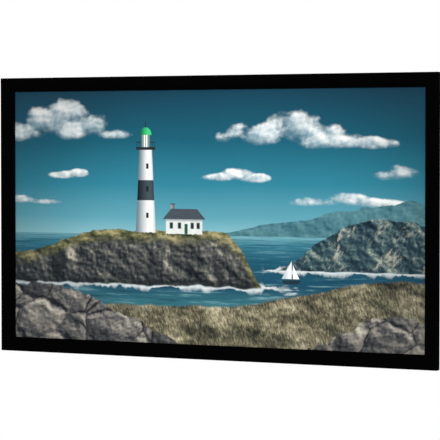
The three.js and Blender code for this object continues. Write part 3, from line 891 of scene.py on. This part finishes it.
def screen_sheet(picture, white, backing):
    """The cloth as one surface, thickened both ways. Its back has the dark coat all over."""
    sheet = piece("screen_sheet", sheet_mesh(), "projection_sheet", "screen_vinyl",
                  picture, white, backing, backing)
    thicken = sheet.modifiers.new("thickness", "SOLIDIFY")
    thicken.thickness, thicken.offset = CLOTH, 0.0
    thicken.material_offset, thicken.material_offset_rim = 2, 1
    section = [(r, y) for r, y in hem_section() if r > 0 or y > SURFACE + CLOTH]
    hem = section[0][0] + sum(math.dist(a, b) for a, b in zip(section, section[1:]))
    2 * (HALF_WIDTH + hem)
    2 * (HALF_HEIGHT + hem)


ROD_ROUND = 0.0006
BUMPER_ROUND = 0.0007


def turned(name, node, slot, material, axis, edge, sides, edge_steps):
    """A round bar in a CAD node's place, with its two end edges rounded off."""
    low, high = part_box(node)
    middle, reach = (low + high) / 2, (high - low) / 2
    radius = min(reach)
    half = reach[axis]
    corner = [(half - edge + edge * math.sin(a), radius - edge + edge * math.cos(a))
              for a in (math.pi / 2 * i / edge_steps for i in range(edge_steps + 1))]
    profile = [(-place, size) for place, size in corner[::-1]] + corner
    across = [i for i in range(3) if i != axis]
    mesh = bmesh.new()
    rings = []
    for place, size in profile:
        ring = []
        for i in range(sides):
            angle = 2 * math.pi * i / sides
            at = Vector(middle)
            at[axis] += place
            at[across[0]] += size * math.cos(angle)
            at[across[1]] += size * math.sin(angle)
            ring.append(mesh.verts.new(at))
        rings.append(ring)
    for a, b in zip(rings, rings[1:]):
        for i in range(sides):
            mesh.faces.new((a[i - 1], a[i], b[i], b[i - 1]))
    mesh.faces.new(rings[0])
    mesh.faces.new(rings[-1])
    bmesh.ops.recalc_face_normals(mesh, faces=mesh.faces)
    piece(name, finished(mesh, name, ROUND_ANGLE), node, slot, material)


# Grip ribs across the tab of each clip
RIB_COUNT = 3
RIB_SIDES = 10
RIB_PITCH = 0.0019
RIB_RADIUS = 0.0007
RIB_FROM_END = 0.0016
RIB_SHORTFALL = 0.0022
RIB_PROUD = 0.0005


def grip_ribs(mesh, side, node):
    """Half-round ribs on the back of a clip's tab, for the thumb."""
    start, end = span_along(side, node)
    centre_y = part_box(node)[1].y + RIB_PROUD - RIB_RADIUS
    for i in range(RIB_COUNT):
        r = outer_r(side, node) - RIB_FROM_END - i * RIB_PITCH
        points = arc(r, centre_y, RIB_RADIUS, 0, 360 - 360 / RIB_SIDES, RIB_SIDES - 1)
        rings = []
        for along in (start + RIB_SHORTFALL, end - RIB_SHORTFALL):
            places = [(*on_side(side, along, rib_r), y) for rib_r, y in points]
            rings.append([mesh.verts.new((x, y, z)) for x, z, y in places])
        for j in range(RIB_SIDES):
            mesh.faces.new((rings[0][j - 1], rings[0][j], rings[1][j], rings[1][j - 1]))
        mesh.faces.new(rings[0])
        mesh.faces.new(rings[1])


# Flat faces that meet at less than this many degrees are one face
SAME_FACE_ANGLE = 1
# How much the edges of each sort of part are rounded
RAIL_EDGE = 0.0002
FITTING_EDGE = 0.0003
SCREW_EDGE = 0.00015


def dressed(node, slot, material, edge, side=None):
    """A CAD node's shape again, with its sharp edges rounded by a small radius. A clip comes with its
    side, for its grip ribs."""
    mesh = bmesh.new()
    mesh.from_mesh(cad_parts[node].data)
    bmesh.ops.remove_doubles(mesh, verts=mesh.verts, dist=TOUCH)
    same, sharp_from = math.radians(SAME_FACE_ANGLE), math.radians(FLAT_ANGLE)
    bmesh.ops.dissolve_limit(mesh, angle_limit=same, verts=mesh.verts, edges=mesh.edges)
    sharp = [e for e in mesh.edges if len(e.link_faces) == 2 and e.calc_face_angle() > sharp_from]
    bmesh.ops.bevel(mesh, geom=sharp, offset=edge, segments=2, profile=0.5, affect="EDGES",
                    clamp_overlap=True)
    if side:
        grip_ribs(mesh, side, node)
    bmesh.ops.recalc_face_normals(mesh, faces=mesh.faces)
    name = f"{node}_finished"
    piece(name, finished(mesh, name, FLAT_ANGLE), node, slot, material)


def dress_nodes():
    """Gives every other part its finish and its fine edges."""
    along = aluminium_material("aluminium_along", along_x=True)
    upright = aluminium_material("aluminium_up", along_x=False)
    nylon, fibreglass, zinc = nylon_material(), fibreglass_material(), zinc_material()
    rubber = rubber_material()
    for side in OUTWARD:
        level = bool(OUTWARD[side][1])
        dressed(f"rail_{side}", "rail_aluminium", along if level else upright, RAIL_EDGE)
        turned(f"hem_rod_{side}_finished", f"hem_rod_{side}", "fibreglass_rod", fibreglass,
               axis=0 if level else 2, edge=ROD_ROUND, sides=20, edge_steps=2)
        for node in [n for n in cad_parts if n.startswith(f"tension_clip_{side}_")]:
            dressed(node, "clip_nylon", nylon, FITTING_EDGE, side)
    dressed("centre_brace", "rail_aluminium", upright, FITTING_EDGE)
    for node in [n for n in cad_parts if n.startswith(("corner_key", "brace_strap", "wall_bracket"))]:
        dressed(node, "zinc_steel", zinc, FITTING_EDGE)
    for end in ("top", "bottom"):
        dressed(f"brace_screw_{end}", "zinc_steel", zinc, SCREW_EDGE)
    for end in ("left", "right"):
        turned(f"wall_bumper_{end}_finished", f"wall_bumper_{end}", "bumper_rubber", rubber,
               axis=1, edge=BUMPER_ROUND, sides=32, edge_steps=4)


def lamp(name, place, size, power):
    """A soft round lamp aimed at the middle of the screen."""
    light = bpy.data.lights.new(name, "AREA")
    light.shape, light.size, light.energy = "DISK", size, power
    made = bpy.data.objects.new(name, light)
    made.location = place
    made.rotation_euler = (-Vector(place)).to_track_quat("-Z", "Y").to_euler()
    bpy.context.scene.collection.objects.link(made)


def show_white(tree, surface, output, amount=None):
    """Shows plain white to the camera and in reflections, and leaves the lighting to surface. Where
    there is an amount, only that share turns white."""
    path = tree.nodes.new("ShaderNodeLightPath")
    seen = path.outputs["Is Camera Ray"]
    for ray in ("Is Glossy Ray", "Is Transmission Ray"):
        either = tree.nodes.new("ShaderNodeMath")
        either.operation = "MAXIMUM"
        tree.links.new(seen, either.inputs[0])
        tree.links.new(path.outputs[ray], either.inputs[1])
        seen = either.outputs[0]
    if amount:
        share = tree.nodes.new("ShaderNodeMath")
        share.operation = "MULTIPLY"
        tree.links.new(seen, share.inputs[0])
        tree.links.new(amount.socket, share.inputs[1])
        seen = share.outputs[0]
    white = tree.nodes.new("ShaderNodeEmission" if amount else "ShaderNodeBackground")
    white.inputs["Color"].default_value = (1, 1, 1, 1)
    mix = tree.nodes.new("ShaderNodeMixShader")
    tree.links.new(seen, mix.inputs[0])
    tree.links.new(surface, mix.inputs[1])
    tree.links.new(white.outputs[0], mix.inputs[2])
    tree.links.new(mix.outputs[0], output.inputs["Surface"])


FLOOR_DROP = 0.85
FLOOR_SIZE = 60.0
SURROUND_LIGHT = 0.55
# Where the floor starts and ends turning white, from its middle, and how much X squared counts there
SHADOW_REACH = (1.7, 2.9)
SHADOW_X_SHARE = 0.4

# Soft lamps: name, place, size across in metres and power in watts
LAMPS = (
    ("key", (-3.2, -5.0, 3.4), 3.5, 260),
    ("fill", (4.6, -4.6, 1.6), 3.5, 170),
    ("back_left", (-3.6, 4.4, 2.6), 3.0, 150),
    ("back_right", (3.6, 4.4, 1.4), 3.0, 120),
)


def studio():
    """A pale floor that goes over into white, a white surround and soft lamps all round."""
    bpy.ops.mesh.primitive_plane_add(size=FLOOR_SIZE, location=(0, 0, cad_box[0].z - FLOOR_DROP))
    floor = bpy.context.object
    floor.name = "floor"
    s = Shader("pale_floor")
    grain = s.noise(3, 4)
    s.set(Base_Color=s.mix(linear(233, 233, 233), linear(239, 239, 239), grain))
    s.set(Roughness=0.8, Specular_IOR_Level=0.1)
    away = s.math("SQRT", s.x * s.x * SHADOW_X_SHARE + s.y * s.y)
    output = s.nodes["Material Output"]
    show_white(s.material.node_tree, s.surface.outputs[0], output, s.step(*SHADOW_REACH, away))
    floor.data.materials.append(s.material)

    world = bpy.data.worlds.new("surround")
    world.use_nodes = True
    bpy.context.scene.world = world
    background = world.node_tree.nodes["Background"]
    background.inputs["Color"].default_value = (1, 1, 1, 1)
    background.inputs["Strength"].default_value = SURROUND_LIGHT
    show_white(world.node_tree, background.outputs[0], world.node_tree.nodes["World Output"])

    for settings in LAMPS:
        lamp(*settings)


# The photograph's camera, from the solved corners of the frame: its place from the picture's
# centre, its heading and tilt in degrees, and its lens and sensor in millimetres
CAMERA_FROM_PICTURE = (5.1199, -10.5114, 0.3923)
CAMERA_TURN = 25.739
CAMERA_TILT = -1.981
CAMERA_LENS = 178.59
CAMERA_SENSOR = 36.0


def camera():
    """The photograph's view: from the right, through a long lens."""
    data = bpy.data.cameras.new("camera")
    data.lens, data.sensor_width = CAMERA_LENS, CAMERA_SENSOR
    made = bpy.data.objects.new("camera", data)
    made.location = Vector(CAMERA_FROM_PICTURE) + Vector((0, SURFACE, 0))
    made.rotation_euler = (math.radians(90 + CAMERA_TILT), 0, math.radians(CAMERA_TURN))
    bpy.context.scene.collection.objects.link(made)
    bpy.context.scene.camera = made


camera()
studio()
velvet = velvet_material()
for side in OUTWARD:
    velvet_wrap(side, velvet)
screen_sheet(picture_material(), vinyl_material(), backing_material())
dress_nodes()

bpy.context.scene.view_settings.view_transform = "Standard"
